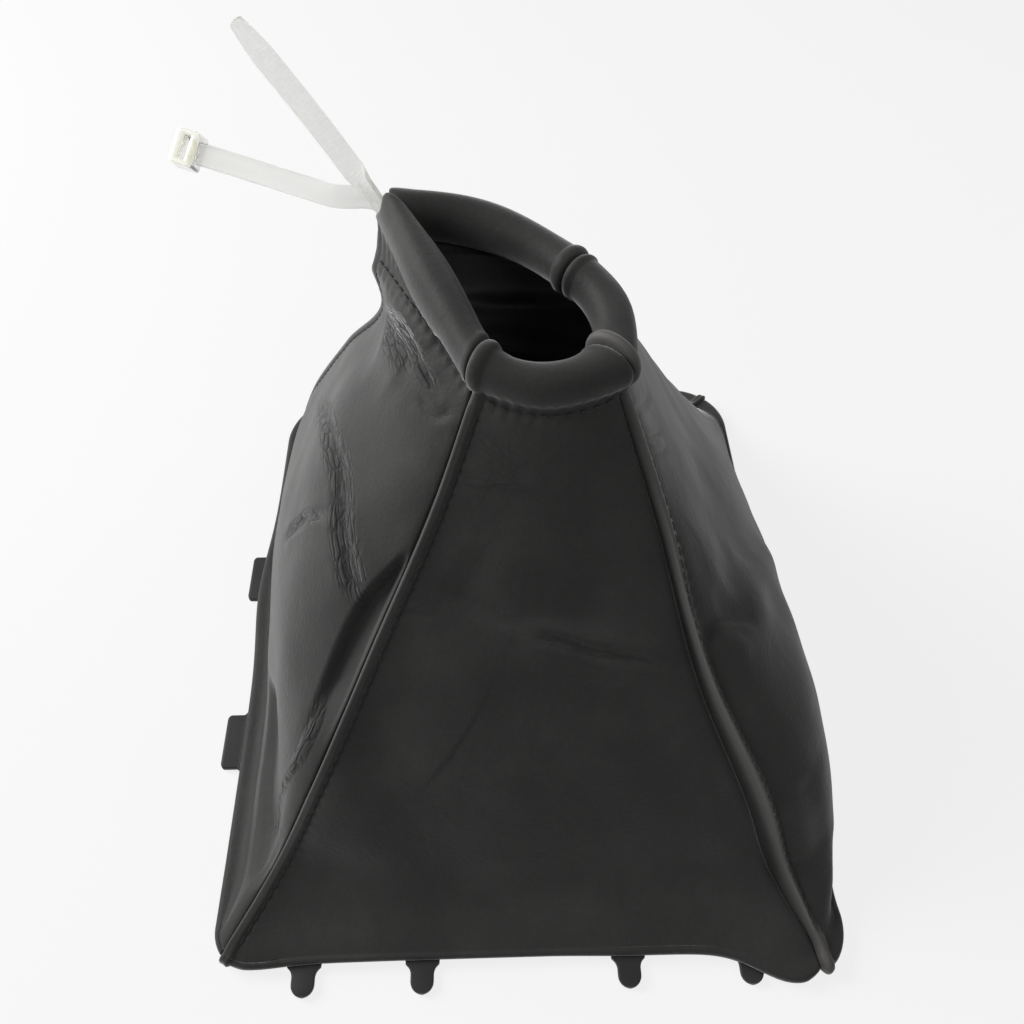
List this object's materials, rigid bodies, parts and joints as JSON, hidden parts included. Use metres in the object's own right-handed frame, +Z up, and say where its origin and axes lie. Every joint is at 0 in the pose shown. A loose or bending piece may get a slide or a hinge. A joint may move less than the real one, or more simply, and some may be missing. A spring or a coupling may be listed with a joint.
{
  "type": "gear lever gaiter",
  "caption": "Leather sleeve that covers the base of a car's gear lever, fixed over a clip-in frame, with a stitched collar closed round the lever by an open tie",
  "frame": {"origin": "middle of the frame's underside, in plan the middle of the whole part", "axes": "+X to the right seen from the front, +Y to the back, +Z up through the collar; the front is the side with the narrowest panel at the collar"},
  "size_m": [0.164, 0.2072, 0.1582],
  "materials": {
    "frame": "moulded, satin",
    "leather": "fine grain, low sheen",
    "tie": "natural nylon, slightly milky",
    "thread": "twisted, matte"
  },
  "bodies": {
    "root": {"base_frame": "frame", "front_panel": "leather", "right_panel": "leather", "back_panel": "leather", "left_panel": "leather", "cable_tie": "tie", "seam_thread_front_left": "thread", "seam_thread_front_right": "thread", "seam_thread_back_right": "thread", "seam_thread_back_left": "thread", "hem_thread": "thread"}
  },
  "joints": []
}
